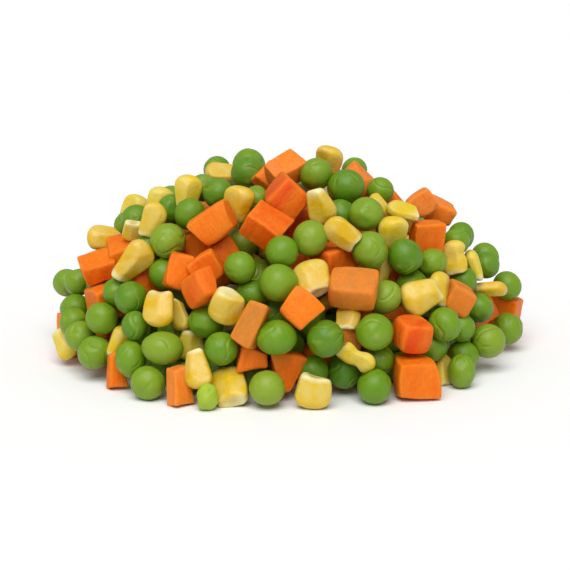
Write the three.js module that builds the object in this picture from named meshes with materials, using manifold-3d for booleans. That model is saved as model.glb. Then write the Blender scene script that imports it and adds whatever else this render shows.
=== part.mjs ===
// A heap of mixed vegetables lying loose on a flat surface: peas, diced carrot and sweetcorn kernels.
// Millimetres, +Z up. The origin is the middle of the footprint, on the surface that the heap lies on.
// The side that the photograph shows faces -Y. The pieces seen there are laid where they are seen, and
// the sides, the back and the layer underneath are filled by a rule. All of them then settle: they push
// each other apart until they only touch. The heap is one solid, a core with the pieces fused onto it.
import * as THREE from "three";
import { mergeVertices } from "three/addons/utils/BufferGeometryUtils.js";
import Module from "manifold-3d";

// The mound is half an ellipsoid, and its core lies this deep under its surface.
const MOUND = new THREE.Vector3(59, 52.5, 51);
const CORE_DEPTH = 9;
const CORE_SEGMENTS = 16;
const CORE_RINGS = 6;

// Where the photograph was taken from: degrees above the horizon, mm from the heap, and the focal length
// and picture centre in the photograph's own pixels.
const VIEW = { elevation: 15, distance: 560, focal: 2268, aimHeight: 15.85, centre: 285 };

// Peas: u and v of the middle in the photograph, diameter in mm, and mm behind the mound's surface.
const SEEN_PEAS = [
  [78.5, 282, 7.2, 0], [67, 283, 7.0, 4], [75, 309, 7.3, 3], [74, 322, 6.9, 0], [81, 336, 7.4, 0],
  [95, 352, 8.2, 0], [102, 318.5, 7.9, 0], [131, 298, 8.0, 0], [117, 292, 7.0, 4], [135, 326, 7.0, 0],
  [162.5, 348, 8.5, 0], [130.5, 359, 7.9, 0], [148, 382.5, 8.4, 0], [163, 274, 7.2, 2],
  [206, 322, 8.3, 0], [221, 349, 8.0, 2], [173, 333, 7.6, 7], [168, 241, 8.6, 0], [150, 246, 7.0, 5],
  [190, 214, 7.6, 0], [171, 209, 6.8, 4], [171, 200, 7.0, 8], [136, 219, 7.0, 1], [127, 225, 6.5, 5],
  [218, 193, 7.3, 0], [203, 188, 7.0, 5], [217, 170, 7.2, 4], [248, 173, 8.3, 0], [249, 166, 8.4, 7],
  [257, 200, 7.0, 4], [315, 174, 8.0, 0], [345, 187, 9.0, 0], [354, 171, 6.8, 7], [366, 214.5, 8.2, 0],
  [341, 214, 7.5, 5], [311, 238.5, 8.2, 1], [282, 252, 8.0, 1], [279, 283.5, 8.9, 0],
  [240, 268, 7.6, 1], [251, 295, 7.4, 5], [241, 244, 7.5, 6], [276, 337, 8.7, 0], [267, 387.5, 8.2, 0],
  [325.5, 339, 8.5, 0], [313, 371, 7.4, 3], [344, 371, 8.0, 4], [250, 374, 7.8, 7],
  [368.5, 250, 8.7, 0], [405, 256.5, 8.6, 0], [432, 263, 7.0, 1], [380, 191, 6.8, 3],
  [384.5, 297, 8.1, 0], [374, 332, 8.9, 0], [374.5, 386.5, 8.3, 0], [412, 285, 7.4, 5],
  [444.5, 325, 8.0, 0], [461, 328, 7.0, 5], [463, 356, 7.8, 4], [461, 371, 7.6, 0], [488, 341, 8.2, 0],
  [508, 328, 7.8, 0], [478, 308, 7.8, 0], [507, 286, 7.3, 2], [463, 281, 6.9, 2], [456, 242, 6.7, 1],
  [461, 236, 7.0, 5], [486, 265, 6.8, 0], [485, 257, 7.2, 4], [457, 310, 7.0, 5], [383, 360, 7.6, 6],
  [433, 347, 7.0, 6], [272, 312, 7.5, 7], [101, 285, 7.4, 5], [208, 397, 5.6, 0.5],
];

// Kernels: u and v, length and width in mm, then in degrees the way the crown points in the picture
// (0 right, 90 up), its tip towards the viewer and its turn about its own length, mm behind, and the
// share of its width that is left at the cut end.
const SEEN_KERNELS = [
  [106, 238, 8.6, 6.4, 178, 10, 15, 1, 0.8], [134, 211, 8, 7, 60, 0, 0, 6, 0.7],
  [133, 230, 6.6, 5.6, -100, -50, 0, 3, 0.8], [152, 223, 8.8, 6.4, 68, 10, 10, 0, 0.7],
  [160, 204, 8, 7, 70, 0, 0, 6, 0.7], [187, 194, 8.8, 7.2, 82, 10, 0, 0, 0.65],
  [133, 263, 11, 8, 46, 8, 14, 0, 0.6], [160, 308, 8.8, 7.6, -94, 16, 10, 0, 0.85],
  [180, 314, 7.6, 6.2, -76, 0, 50, 2, 0.6], [64, 344, 7.6, 6, -60, 10, 10, 0, 0.6],
  [196.5, 369, 9.2, 7, -82, 10, 25, 0, 0.6], [228.5, 387, 10.4, 9, 108, -40, 0, 0, 0.85],
  [224, 172, 8.6, 7, 176, 0, 62, 2, 0.8], [238, 204, 8.6, 8, 75, 20, 0, 1, 0.7],
  [327.5, 161.5, 7.6, 7, 80, 25, 0, 1, 0.8], [318, 205, 8.8, 7.6, -70, -15, 0, 1, 0.6],
  [342.5, 236, 9, 6.6, 145, 5, -28, 0, 0.85], [313.5, 279, 9, 8.8, 105, -24, 0, 0, 0.85],
  [227, 307, 9, 8.8, -105, -36, 0, 0, 0.85], [346, 321, 6, 6, 80, -25, 0, 5.5, 0.8],
  [313, 392, 8.4, 8.4, -100, -20, 0, 0, 0.9], [356, 357, 9.4, 6.2, -32, 0, 50, 0, 0.8],
  [393, 233, 7.8, 7.4, 85, 25, 0, 1, 0.8], [403, 212, 8, 7, 165, 0, 68, 1, 0.7],
  [384, 208, 8.4, 6.4, 130, 0, 60, 3, 0.6], [455, 258, 8.4, 6.2, 95, 5, 0, 0, 0.9],
  [474, 266, 7.8, 6, 108, 0, 78, 2, 0.6], [422, 297, 9.8, 9.2, 204, 12, 0, 0, 0.66],
  [440, 290, 8.2, 7, 88, 0, 50, 2, 0.8], [489.5, 290, 8.2, 6.6, 2, 0, 70, 0, 0.9],
  [444, 372, 8, 6, 90, -20, 60, 5, 0.8], [384, 268, 8, 6.5, 80, 0, 60, 7, 0.7],
  [119, 344, 8, 7, 60, 0, 0, 6.5, 0.7], [192, 344, 8, 7, -95, -20, 0, 5.5, 0.7],
];

// Dice: u and v, width, height and thickness in mm, then in degrees yaw, tip towards the viewer and roll
// in the picture, mm behind, and by what share they narrow upwards (taper) and to the right (wedge).
const SEEN_DICE = [
  [99, 266, 8.2, 5, 7.6, 8, 34, 14, 1, -0.06, 0.1], [126, 256, 9.3, 8, 9, 0, 28, 13, 5, 0.1, 0],
  [108, 300, 8.5, 8, 8.5, 20, 10, 10, 4, 0.1, 0], [146, 283, 8, 8, 8, 30, 20, 10, 7, 0, 0],
  [116, 370, 3.4, 8, 3.6, 20, 0, 8, 1, 0.3, 0], [179.5, 388, 4.8, 8.9, 4.4, 36, 0, 7, 0, 0.1, 0],
  [214, 223.5, 9.9, 7.8, 8, -12, 5, 35, 0, -0.13, 0],
  [266, 227, 8.4, 7, 7.4, -8, 45, -32, 0, -0.08, -0.1], [287, 197, 8.8, 8.4, 9, 16, 3, -46, 1, 0, 0],
  [285.5, 172, 8.3, 6.3, 6.4, 36, 48, 3, 2, 0, 0], [193, 246, 7, 7, 7, 10, 10, 45, 6, 0, 0],
  [181, 271.5, 6.4, 8.4, 7, 8, 0, -12, 2, 0.1, 0], [205, 267, 7.4, 7, 7.5, -8, 8, 38, 4, 0, 0],
  [201.5, 287, 5, 6.8, 9, 34, -15, 22, 0, 0, 0], [354, 288, 10.6, 6.5, 7.8, -4, 50, -2, 1, -0.04, 0],
  [333, 262, 8.6, 8.6, 8.6, 40, 20, 0, 6, 0, 0], [299.4, 309.5, 7.9, 7.9, 8, 4, -4, 48, 0, 0.04, 0],
  [252, 324, 5.2, 10.4, 7, -12, 0, -27, 1, 0.12, 0], [252, 356.5, 6.8, 5.2, 6, 10, 10, -8, 3, 0, 0.35],
  [285, 371, 5.8, 9.4, 6.4, 15, 5, -8, 3, -0.5, 0], [413.5, 377, 9.2, 9.6, 9, 14, 14, 1, 0, 0.02, 0],
  [411, 333, 7.8, 7.3, 7.6, 25, 24, -11, 0, -0.08, 0], [426, 236, 8, 7.5, 7.8, 12, 15, -5, 0, 0, 0],
  [421, 203, 6.4, 6, 6, 0, 10, 40, 2, 0, 0], [439, 211, 7.2, 5.4, 6.6, 10, 20, -26, 2, 0, 0.2],
  [357, 182, 8, 7, 7, 5, 8, -44, 6, 0, 0], [386, 203, 8, 7.5, 8, 0, 5, -43, 6, 0, 0],
  [457, 297.5, 6.6, 6.2, 7, 15, 10, -30, 2, 0, 0], [505, 310, 7.4, 7, 7.5, -20, 10, -8, 2, 0, 0],
  [224, 256, 7, 8, 7, 10, 10, 30, 7, 0, 0],
  [299, 222, 8, 8, 8, 20, 20, 0, 8, 0, 0], [346, 336, 7, 7, 7, 20, 10, 0, 6, 0, 0],
  [362, 317, 8, 8, 8, 30, 30, 0, 6, 0, 0], [398, 270, 7.5, 7.5, 7.5, 10, 10, 0, 8, 0, 0],
  [269, 178, 6, 6, 6, 20, 0, 45, 5, 0, 0],
];

// The filling: where it lies, how it is shared out, and the ranges of its sizes. It starts this far apart
// and is shaken this much, between the mound's surface taken in by depth and its hollow share.
const FILL = {
  seed: 20, spacing: 9.5, shake: 1.2, depth: 4.6, hollow: 0.52, peas: 0.53, kernels: 0.25, inset: 1.2,
};
const ROW = Math.sqrt(3) / 2; // rows of a close-packed layer are this share of the spacing apart
const LAYER = Math.sqrt(2 / 3); // and the layers this share

// Sizes in mm, and beside them shares of a pea's diameter, a kernel's width or a die's edge.
const PEA = {
  small: 7.2, large: 8.9, fit: 0.98, least: [0.97, 0.95, 0.93], most: [1.05, 1.02, 1.02],
  loose: [1.02, 1, 0.96], fineRadius: 0.57, roughRadius: 0.58,
};
const KERNEL = {
  narrow: 6.8, wide: 8.4, length: 1.12, lengthSpread: 0.12, thickness: 0.62, tip: 0.72, under: 0.4,
};
const DIE = { small: 7.8, large: 9.6, widthSpread: 0.06, depthSpread: 0.08, bevel: 0.08, rough: 0.97 };
const SETTLE = {
  rounds: 160, firmness: 1.25, longestStep: 1, sideways: 0.25, hold: 0.12, ahead: 1.2, pull: 0.05,
  widest: 0.15, lookAgain: 8, lookAround: 1.5, along: 3, inertia: 6,
};
// The share of its radius at which a piece's middle lies over the floor, and the shares of the radii by
// which a loose piece starts clear of a seen one and of its line of sight.
const FOOT = 0.98;
const CLEAR = { apart: 0.72, aside: 0.9, girth: 0.7, nearer: 0.3 };
// The shares of the way out from the middle past which a piece shows, and past which it has more sides.
const SHOWS = 0.76;
const FINELY = 0.9;
// The peg that holds a piece which only touches its neighbours: radius in mm, and how far it goes into
// the core, as a share of the way out.
const PEG = { radius: 1.1, into: 0.05 };

const X = new THREE.Vector3(1, 0, 0);
const Y = new THREE.Vector3(0, 1, 0);
const Z = new THREE.Vector3(0, 0, 1);

// A seeded draw: a linear congruential generator whose products a double holds exactly.
function makeDraw(seed) {
  return (low = 0, high = 1) => {
    seed = (seed * 1664525 + 1013904223) % 4294967296;
    return low + ((high - low) * seed) / 4294967296;
  };
}

function turnBy(axis, degrees) {
  return new THREE.Quaternion().setFromAxisAngle(axis, THREE.MathUtils.degToRad(degrees));
}

// The camera's own turn, axes and place.
const facing = turnBy(X, -VIEW.elevation);
const away = Y.clone().applyQuaternion(facing);
const upward = Z.clone().applyQuaternion(facing);
const eye = new THREE.Vector3(0, 0, VIEW.aimHeight).addScaledVector(away, -VIEW.distance);

// The line of sight through a pixel.
function sightLine(u, v) {
  return away.clone()
    .addScaledVector(X, (u - VIEW.centre) / VIEW.focal)
    .addScaledVector(upward, (VIEW.centre - v) / VIEW.focal)
    .normalize();
}

// How far out a point lies in the mound taken in by depth: 0 in the middle, 1 on its surface.
function outwardness(point, depth = 0) {
  return point.clone().divide(MOUND.clone().subScalar(depth)).length();
}

// The distance along a line of sight to the mound taken in by depth, or to where the line passes closest.
function sightDistance(line, depth) {
  const axes = MOUND.clone().subScalar(depth);
  const from = eye.clone().divide(axes);
  const along = line.clone().divide(axes);
  const a = along.lengthSq();
  const b = from.dot(along);
  const c = from.lengthSq() - 1;
  return (-b - Math.sqrt(Math.max(b * b - a * c, 0))) / a;
}

// The balls that stand for a piece while the heap settles: [x, y, z, radius] in the piece's own axes.
const ballsOf = {
  pea: (size) => [[0, 0, 0, Math.cbrt(size.x * size.y * size.z) / 2]],
  kernel: ({ x, y, z }) => {
    const r = y / 2;
    return [
      [r - x / 2, 0, 0.22 * z, r], [x / 2 - r, 0, 0.22 * z, r], [0, 0, 0.24 * z, r],
      [-0.16 * x, 0, -0.08 * z, 0.92 * r], [0.16 * x, 0, -0.08 * z, 0.92 * r],
      [0, 0, 0.75 * r - 0.5 * z, 0.75 * r],
    ];
  },
  die: (size) => {
    const least = Math.min(size.x, size.y, size.z);
    const r = 0.2 * least;
    const balls = [[0, 0, 0, least / 2]];
    for (const i of [-1, 0, 1]) for (const j of [-1, 0, 1]) for (const k of [-1, 0, 1])
      if (Math.abs(i) + Math.abs(j) + Math.abs(k) > 1)
        balls.push([i * (size.x / 2 - r), j * (size.y / 2 - r), k * (size.z / 2 - r), r]);
    return balls;
  },
};

// A piece's form is what its shape takes beside its size. A seen piece has a line of sight.
function makePiece(kind, size, centre, turn, form = {}, line = null) {
  const balls = ballsOf[kind](size);
  return {
    kind, size, centre, turn, form, line, balls,
    start: centre.clone(),
    bulk: size.x * size.y * size.z,
    reach: Math.max(...balls.map(([x, y, z, r]) => Math.hypot(x, y, z) + r)),
    slowness: SETTLE.inertia * balls.reduce((sum, [x, y, z]) => sum + x * x + y * y + z * z, SETTLE.inertia),
    arms: balls.map(() => new THREE.Vector3()),
  };
}

// A piece seen at a pixel lies where its line of sight meets the mound, and not under the floor.
function laySeen(kind, u, v, size, turn, behind, radius, form) {
  const line = sightLine(u, v);
  const toFloor = (FOOT * radius - eye.z) / line.z;
  const distance = Math.min(sightDistance(line, radius) + behind, toFloor);
  return makePiece(kind, size, eye.clone().addScaledVector(line, distance), turn, form, line);
}

// A turn made of several, each an axis and degrees, in the camera's own axes.
function turnInView(...turns) {
  return turns.reduce((whole, [axis, degrees]) => whole.multiply(turnBy(axis, degrees)), facing.clone());
}

function seenPieces(draw) {
  const peas = SEEN_PEAS.map(([u, v, diameter, behind]) => {
    const across = PEA.fit * diameter;
    const shares = PEA.least.map((least, n) => draw(least, PEA.most[n]));
    const size = new THREE.Vector3(...shares).multiplyScalar(across);
    const turn = turnBy(Y, draw(0, 360)).multiply(turnBy(X, draw(0, 360)));
    return laySeen("pea", u, v, size, turn, behind, across / 2);
  });
  const kernels = SEEN_KERNELS.map(([u, v, length, width, crown, tip, spin, behind, narrow]) => {
    const size = new THREE.Vector3(width, KERNEL.thickness * width, length);
    const turn = turnInView([Y, 90 - crown], [X, tip], [Z, spin]);
    return laySeen("kernel", u, v, size, turn, behind, KERNEL.under * width, { narrow });
  });
  const dice = SEEN_DICE.map(([u, v, width, height, thickness, yaw, tip, roll, behind, taper, wedge]) => {
    const size = new THREE.Vector3(width, thickness, height);
    const turn = turnInView([Y, -roll], [X, tip], [Z, yaw]);
    const least = Math.min(width, height, thickness);
    return laySeen("die", u, v, size, turn, behind, least / 2, { taper, wedge });
  });
  return [...peas, ...kernels, ...dice];
}

const meanRadius = (size) => Math.cbrt(size.x * size.y * size.z) / 2;

// Whether a loose piece at this place would lie in a seen piece, or between one and the viewer.
function isInTheWay(place, radius, seen) {
  const fromEye = place.clone().sub(eye);
  const line = fromEye.clone().normalize();
  return seen.some((other) => {
    const otherRadius = meanRadius(other.size);
    if (other.start.distanceTo(place) < CLEAR.apart * (otherRadius + radius)) return true;
    const toOther = other.start.clone().sub(eye);
    const aside = toOther.clone().addScaledVector(line, -toOther.dot(line)).length();
    const isNearer = fromEye.length() < toOther.length() + CLEAR.nearer * radius;
    return isNearer && aside < CLEAR.aside * (otherRadius + CLEAR.girth * radius);
  });
}

// The filling starts on a shaken close-packed lattice: rows in layers, each layer shifted by a third.
function fillingPieces(draw, seen) {
  const { spacing, shake } = FILL;
  const reach = 2 * (Math.ceil(MOUND.x / spacing) + 1);
  const layers = Math.ceil(MOUND.z / (spacing * LAYER)) + 1;
  const pieces = [];
  const side = 2 * reach + 1;
  for (let n = 0; n < layers * side * side; n++) {
    const k = Math.floor(n / (side * side));
    const j = (Math.floor(n / side) % side) - reach;
    const i = (n % side) - reach;
    const place = new THREE.Vector3(
      (i + 0.5 * Math.abs(j % 2) + 0.5 * (k % 3)) * spacing + draw(-shake, shake),
      (j + (k % 3) / 3) * spacing * ROW + draw(-shake, shake),
      FILL.depth + k * spacing * LAYER + draw(-shake / 2, shake / 2),
    );
    const share = draw();
    const growth = draw();
    const aspect = draw(-1, 1);
    const turn = turnBy(Z, draw(0, 360)).multiply(turnBy(X, draw(0, 360))).multiply(turnBy(Z, draw(0, 360)));
    if (outwardness(place, FILL.depth) > 1 || outwardness(place) < FILL.hollow) continue;
    let kind = "die";
    const edge = THREE.MathUtils.lerp(DIE.small, DIE.large, growth);
    const [wider, deeper] = [1 + DIE.widthSpread * aspect, 1 - DIE.depthSpread * aspect];
    let size = new THREE.Vector3(edge * wider, edge * deeper, edge);
    if (share < FILL.peas) {
      kind = "pea";
      const across = THREE.MathUtils.lerp(PEA.small, PEA.large, growth);
      size = new THREE.Vector3(...PEA.loose).multiplyScalar(across);
    } else if (share < FILL.peas + FILL.kernels) {
      kind = "kernel";
      const width = THREE.MathUtils.lerp(KERNEL.narrow, KERNEL.wide, growth);
      const length = width * (KERNEL.length + KERNEL.lengthSpread * aspect);
      size = new THREE.Vector3(width, KERNEL.thickness * width, length);
    }
    if (!isInTheWay(place, meanRadius(size), seen)) pieces.push(makePiece(kind, size, place, turn));
  }
  return pieces;
}

// One round of settling. Balls of two pieces that overlap push both apart, by their bulk, and turn them.
function settleOnce(pieces, pairs, pull) {
  for (const piece of pieces) {
    piece.move = new THREE.Vector3();
    piece.spin = new THREE.Vector3();
    piece.hits = 0;
    piece.balls.forEach(([x, y, z], n) => piece.arms[n].set(x, y, z).applyQuaternion(piece.turn));
  }
  const push = new THREE.Vector3();
  const shove = (piece, arm, by) => {
    piece.move.addScaledVector(push, by);
    piece.spin.add(arm.clone().cross(push).multiplyScalar(by));
    piece.hits += 1;
  };
  for (const [one, other] of pairs) {
    const share = other.bulk / (one.bulk + other.bulk);
    for (let a = 0; a < one.balls.length; a++) for (let b = 0; b < other.balls.length; b++) {
      push.copy(one.centre).add(one.arms[a]).sub(other.centre).sub(other.arms[b]);
      const distance = push.length() + 1e-9;
      const overlap = one.balls[a][3] + other.balls[b][3] - distance;
      if (overlap <= 0) continue;
      push.multiplyScalar(overlap / distance);
      shove(one, one.arms[a], share);
      shove(other, other.arms[b], share - 1);
    }
  }
  for (const piece of pieces) {
    piece.balls.forEach((ball, n) => {
      const sunk = ball[3] - piece.centre.z - piece.arms[n].z;
      if (sunk > 0) {
        push.set(0, 0, sunk);
        shove(piece, piece.arms[n], 1);
      }
    });
    const step = piece.move.multiplyScalar(SETTLE.firmness / Math.max(piece.hits, 1));
    step.clampLength(0, SETTLE.longestStep);
    if (piece.line) slideAlongSight(piece, step);
    else rollFreely(piece, step, pull);
  }
}

// A seen piece gives way along its line of sight, and is drawn back to that line.
function slideAlongSight(piece, step) {
  const dot = step.dot(piece.line);
  const along = Math.sign(dot) * Math.min(SETTLE.along * Math.abs(dot), step.length());
  piece.centre.addScaledVector(piece.line, along);
  piece.centre.addScaledVector(step.addScaledVector(piece.line, -dot), SETTLE.sideways);
  const home = piece.start.clone().sub(piece.centre);
  const ahead = home.dot(piece.line);
  home.addScaledVector(piece.line, -ahead);
  piece.centre.addScaledVector(home, SETTLE.hold);
  if (ahead > SETTLE.ahead) piece.centre.addScaledVector(piece.line, ahead - SETTLE.ahead);
}

// A loose piece is pulled inwards and down, turns as it is pushed, and stays in the mound.
function rollFreely(piece, step, pull) {
  const inward = piece.centre.clone().divide(MOUND).divide(MOUND).normalize();
  step.addScaledVector(inward, -pull);
  step.z -= pull / 2;
  piece.centre.add(step);
  const spin = piece.spin.divideScalar(piece.slowness);
  const angle = spin.length();
  if (angle > 1e-12) {
    spin.divideScalar(angle);
    piece.turn.premultiply(new THREE.Quaternion().setFromAxisAngle(spin, Math.min(angle, SETTLE.widest)));
  }
  const out = outwardness(piece.centre, FILL.inset * meanRadius(piece.size));
  if (out > 1) piece.centre.divideScalar(out);
}

function settle(pieces) {
  let pairs = [];
  for (let round = 0; round < SETTLE.rounds; round++) {
    if (round % SETTLE.lookAgain === 0) {
      pairs = [];
      pieces.forEach((one, n) => pieces.slice(n + 1).forEach((other) => {
        const near = one.reach + other.reach + SETTLE.lookAround;
        if (one.centre.distanceTo(other.centre) < near) pairs.push([one, other]);
      }));
    }
    settleOnce(pieces, pairs, SETTLE.pull * (1 - round / SETTLE.rounds));
  }
}

// The pieces' own shapes, with few sides, in a unit box. A pea is a ball with twelve five-sided faces, or
// deeper in the heap a rougher one, with twenty three-sided ones.
function peaShape(form, fine) {
  if (fine) return new THREE.DodecahedronGeometry(PEA.fineRadius);
  return new THREE.IcosahedronGeometry(PEA.roughRadius);
}

// A kernel is a barrel of flat sides, from its flat cut end to its round crown.
function kernelShape({ narrow = KERNEL.tip }, fine) {
  const profile = [[0, -0.5], [0.54 * narrow, -0.5], [0.54, 0.1], [0.37, 0.43], [0, 0.52]];
  const points = profile.map(([radius, height]) => new THREE.Vector2(radius, height));
  const sides = fine ? 8 : 5;
  return new THREE.LatheGeometry(points, sides).rotateY(Math.PI / sides).rotateX(Math.PI / 2);
}

// A cube with its edges taken off front and back.
function bevelledCube() {
  const half = 0.5 - DIE.bevel;
  const face = new THREE.Shape();
  face.moveTo(-half, -half).lineTo(half, -half).lineTo(half, half).lineTo(-half, half).closePath();
  const bevel = { bevelSize: DIE.bevel, bevelThickness: DIE.bevel, bevelSegments: 1 };
  return new THREE.ExtrudeGeometry(face, { depth: 2 * half, ...bevel }).translate(0, 0, -half);
}

// A die is a cube, narrowed upwards and to the right.
function dieShape({ taper = 0, wedge = 0 }, fine) {
  const geometry = fine ? bevelledCube() : new THREE.BoxGeometry(DIE.rough, DIE.rough, DIE.rough);
  const position = geometry.attributes.position;
  for (let n = 0; n < position.count; n++) {
    const [x, z] = [position.getX(n), position.getZ(n)];
    position.setX(n, x * (1 - 2 * taper * z));
    position.setZ(n, z * (1 - 2 * wedge * x));
  }
  return geometry;
}

const shapeOf = { pea: peaShape, kernel: kernelShape, die: dieShape };

// The core: the mound taken in by CORE_DEPTH, flat underneath.
function coreShape() {
  const profile = [new THREE.Vector2(0, 0)];
  for (let n = 0; n <= CORE_RINGS; n++) {
    const angle = (Math.PI / 2) * (n / CORE_RINGS);
    profile.push(new THREE.Vector2(n === CORE_RINGS ? 0 : Math.cos(angle), Math.sin(angle)));
  }
  const { x, y, z } = MOUND.clone().subScalar(CORE_DEPTH);
  return new THREE.LatheGeometry(profile, CORE_SEGMENTS).rotateX(Math.PI / 2).scale(x, y, z);
}

const wasm = await Module();
wasm.setup();

function toSolid(geometry) {
  const bare = geometry.clone();
  bare.deleteAttribute("normal");
  bare.deleteAttribute("uv");
  const merged = mergeVertices(bare, 1e-4);
  return new wasm.Manifold(new wasm.Mesh({
    numProp: 3,
    vertProperties: merged.attributes.position.array,
    triVerts: new Uint32Array(merged.index.array),
  }));
}

function toGeometry(solid) {
  const { numProp, numVert, vertProperties, triVerts } = solid.getMesh();
  const position = new Float32Array(numVert * 3);
  for (let n = 0; n < numVert; n++) {
    position.set(vertProperties.subarray(n * numProp, n * numProp + 3), n * 3);
  }
  return new THREE.BufferGeometry()
    .setAttribute("position", new THREE.BufferAttribute(position, 3))
    .setIndex(new THREE.BufferAttribute(triVerts, 1));
}

const largestOf = (solids) => solids.reduce((one, other) => (other.volume() > one.volume() ? other : one));

// A three-sided peg from a loose solid's middle to the core.
function pegTo(solid) {
  const { min, max } = solid.boundingBox();
  const from = new THREE.Vector3(min[0] + max[0], min[1] + max[1], min[2] + max[2]).divideScalar(2);
  const to = from.clone().multiplyScalar(1 - CORE_DEPTH / MOUND.y - PEG.into);
  const length = from.distanceTo(to);
  const peg = new THREE.CylinderGeometry(PEG.radius, PEG.radius, length, 3).translate(0, -length / 2, 0);
  const turn = new THREE.Quaternion().setFromUnitVectors(Y, from.clone().sub(to).normalize());
  return toSolid(peg.applyQuaternion(turn).translate(from.x, from.y, from.z));
}

// Joins the pieces that show to the core, pegs the ones that stay loose, trims them to the floor, and
// fills what the joining seals.
function fuseHeap(pieces) {
  let heap = toSolid(coreShape());
  for (const piece of pieces) {
    const place = new THREE.Matrix4().compose(piece.centre, piece.turn, piece.size);
    const fine = outwardness(piece.centre) > FINELY;
    heap = heap.add(toSolid(shapeOf[piece.kind](piece.form, fine).applyMatrix4(place)));
  }
  const solids = heap.decompose();
  const whole = largestOf(solids);
  for (const loose of solids) {
    if (loose !== whole && loose.volume() > 0) heap = heap.add(pegTo(loose));
  }
  const under = new THREE.BoxGeometry(4 * MOUND.x, 4 * MOUND.y, MOUND.z).translate(0, 0, -MOUND.z / 2);
  return largestOf(heap.subtract(toSolid(under)).decompose());
}

const draw = makeDraw(FILL.seed);
const seen = seenPieces(draw);
const pieces = [...seen, ...fillingPieces(draw, seen)];
settle(pieces);
const showing = pieces.filter((piece) => outwardness(piece.centre) > SHOWS);

const material = new THREE.MeshStandardMaterial({ color: 0x6f9a34, roughness: 0.45, metalness: 0 });
const heap = new THREE.Mesh(toGeometry(fuseHeap(showing)), material);
heap.name = "vegetable_heap";

const part = new THREE.Group();
part.add(heap);
export default part;
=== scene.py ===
# A heap of mixed frozen vegetables: peas, carrot dice and sweetcorn kernels, loose on a white surface.
# Lengths are in millimetres until a mesh is made, and in metres from there on.
import math
import bpy
import numpy as np
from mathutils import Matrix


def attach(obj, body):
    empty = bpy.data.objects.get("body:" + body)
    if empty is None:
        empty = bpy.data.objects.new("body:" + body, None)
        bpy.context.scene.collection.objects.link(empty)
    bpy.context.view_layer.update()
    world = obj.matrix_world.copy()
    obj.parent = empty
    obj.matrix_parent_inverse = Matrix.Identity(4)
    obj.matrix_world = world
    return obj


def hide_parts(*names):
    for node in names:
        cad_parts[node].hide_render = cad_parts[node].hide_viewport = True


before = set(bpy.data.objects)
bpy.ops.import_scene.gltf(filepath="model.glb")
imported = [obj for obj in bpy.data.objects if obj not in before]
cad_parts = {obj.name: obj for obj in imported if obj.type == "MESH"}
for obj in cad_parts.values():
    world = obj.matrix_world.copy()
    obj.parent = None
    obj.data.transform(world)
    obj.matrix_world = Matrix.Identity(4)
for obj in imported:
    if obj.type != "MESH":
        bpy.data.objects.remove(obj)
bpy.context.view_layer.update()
millimetre = 0.001

# The heap as a whole. It is the same mound, and settles by the same rule, as the solid that it replaces.
heap = {
    "node": "vegetable_heap",
    "mound": np.array([59.0, 52.5, 51.0]),   # half width, half depth and height of the mound
    "seed": 20,                              # for where the filling lies
    "looksSeed": 7,                          # for the filling's forms and tones
    "spacing": 9.5, "shake": 1.2,            # the lattice that the filling starts from
    "depth": 4.6, "hollow": 0.52,            # the filling lies between these two shells of the mound
    "peaShare": 0.53, "kernelShare": 0.25,
    "palest": 0.9,                           # the filling's tones go from 0 to this
    "foot": 0.98,                            # how many radii a seen piece's middle stays over the floor
    "inset": 1.2,                            # how many radii the filling stays inside the mound
    "finely": 0.74,                          # pieces further out than this are made with fine meshes
    "toViewer": 0.5,                         # how far a piece's outward side is turned to the viewer
    "grainShift": 400,                       # how far apart two pieces' grain may lie
}
# By how many radii a loose piece starts clear of a seen one, and of the line of sight to it.
clear = {"apart": 0.72, "aside": 0.9, "girth": 0.7, "nearer": 0.3}
settling = {
    "rounds": 160, "firmness": 1.25, "longestStep": 1.0, "sideways": 0.25, "along": 3,
    "hold": 0.12, "ahead": 1.2, "pull": 0.05, "widest": 0.15, "inertia": 6,
    "lookAgain": 8, "lookAround": 1.5, "lookClose": 4,
}
# The camera, whose focal length and centre are in pixels of the photograph.
view = {
    "elevation": 15, "distance": 560, "focal": 2268, "aimHeight": 15.85, "centre": 285,
    "sensor": 36, "nearest": 0.01, "furthest": 20,
}

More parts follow.
